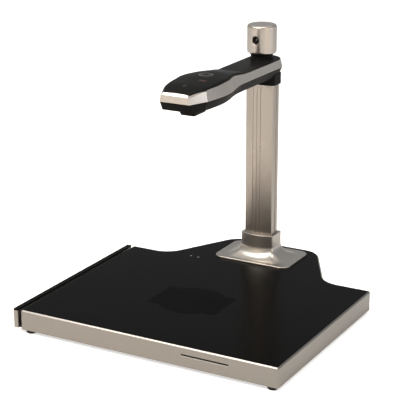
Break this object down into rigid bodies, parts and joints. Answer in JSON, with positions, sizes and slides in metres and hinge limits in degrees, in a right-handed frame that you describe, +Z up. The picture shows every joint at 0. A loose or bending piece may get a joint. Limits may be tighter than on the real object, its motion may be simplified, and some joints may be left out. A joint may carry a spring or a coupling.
{
  "type": "book scanner",
  "caption": "Overhead document camera: flat stage with a card slot and swipe rail, a column, a turning camera arm with a press button, and a small turning portrait camera.",
  "frame": {"origin": "on the resting plane, at the centre of the whole part's footprint, 122.6 mm in front of the column's axis", "axes": "+Z up; -Y towards the user, the way the arm points over the stage; +X to the user's right, away from the swipe rail"},
  "size_m": [0.3306, 0.3324, 0.317],
  "materials": {
    "champagne": "satin champagne",
    "column_metal": "satin champagne, brushed lengthways",
    "foot_metal": "polished champagne",
    "black_gloss": "black, semi-gloss",
    "black_matt": "black, fine matt",
    "dark_film": "printed film",
    "rubber_black": "matt",
    "steel": "bright",
    "cast": "zinc primer",
    "board": "green solder mask",
    "chip": "moulded",
    "gold": "gold plated",
    "brass": "turned",
    "cable_black": "satin sheath",
    "clear": "frosted clear",
    "glass": "coated",
    "key_grey": "satin",
    "nylon": "natural"
  },
  "bodies": {
    "base": {"base_frame": "champagne", "top_panel": "black_gloss", "card_zone_film": "dark_film", "bottom_cover": "black_matt", "rubber_feet": "rubber_black", "cover_screws": "steel", "panel_supports": "nylon", "weight_plate": "cast", "swipe_rail": "champagne", "swipe_rail_cap": "black_gloss", "rail_screws": "steel", "read_head": "black_matt", "read_head_spring": "steel", "card_reader_lower": "black_matt", "card_reader_upper": "black_matt", "card_contacts": "gold", "antenna_board": "board", "main_board": "board", "board_parts": "chip", "usb_socket": "steel", "status_light_pipes": "clear", "status_light_board": "board", "base_cables": "cable_black", "column_bracket": "steel", "bracket_standoffs": "brass", "bracket_screws": "steel", "column_foot": "foot_metal", "foot_screws": "steel", "column": "column_metal", "column_screws": "steel", "column_plug": "foot_metal", "pivot_spindle": "steel", "spindle_nut": "steel", "column_cable": "cable_black"},
    "arm": {"arm_lower_shell": "black_matt", "arm_trim_band": "champagne", "arm_top_panel": "black_gloss", "pivot_bush": "brass", "wave_washer": "steel", "friction_washer": "nylon", "camera_board": "board", "lens_barrel": "black_matt", "lens_glass": "glass", "lens_bezel": "black_gloss", "light_boards": "board", "light_windows": "clear", "control_board": "board", "button_switch": "black_matt", "status_window": "dark_film", "shell_screws": "steel", "arm_cable": "cable_black", "swivel_seat": "black_gloss"},
    "portrait_camera": {"camera_housing": "foot_metal", "housing_cap": "black_matt", "swivel_clip": "steel", "portrait_lens_bezel": "black_gloss", "portrait_lens_glass": "glass", "portrait_board": "board", "portrait_cable": "cable_black"},
    "capture_button": {"capture_button": "key_grey"}
  },
  "joints": [
    {"name": "arm_turn", "type": "hinge", "parent": "base", "child": "arm", "pos_m": [0, 0.1226, 0.2475], "axis": [0, 0, 1], "range_deg": [-90, 90]},
    {"name": "portrait_turn", "type": "hinge", "parent": "arm", "child": "portrait_camera", "pos_m": [0, 0.1181, 0.278], "axis": [0, 0, 1], "range_deg": [-170, 170]},
    {"name": "button_press", "type": "slide", "parent": "arm", "child": "capture_button", "axis": [0, 0, -1], "range_m": [0, 0.0006], "stiffness_N_per_m": 2500, "springref_m": -0.0004}
  ]
}
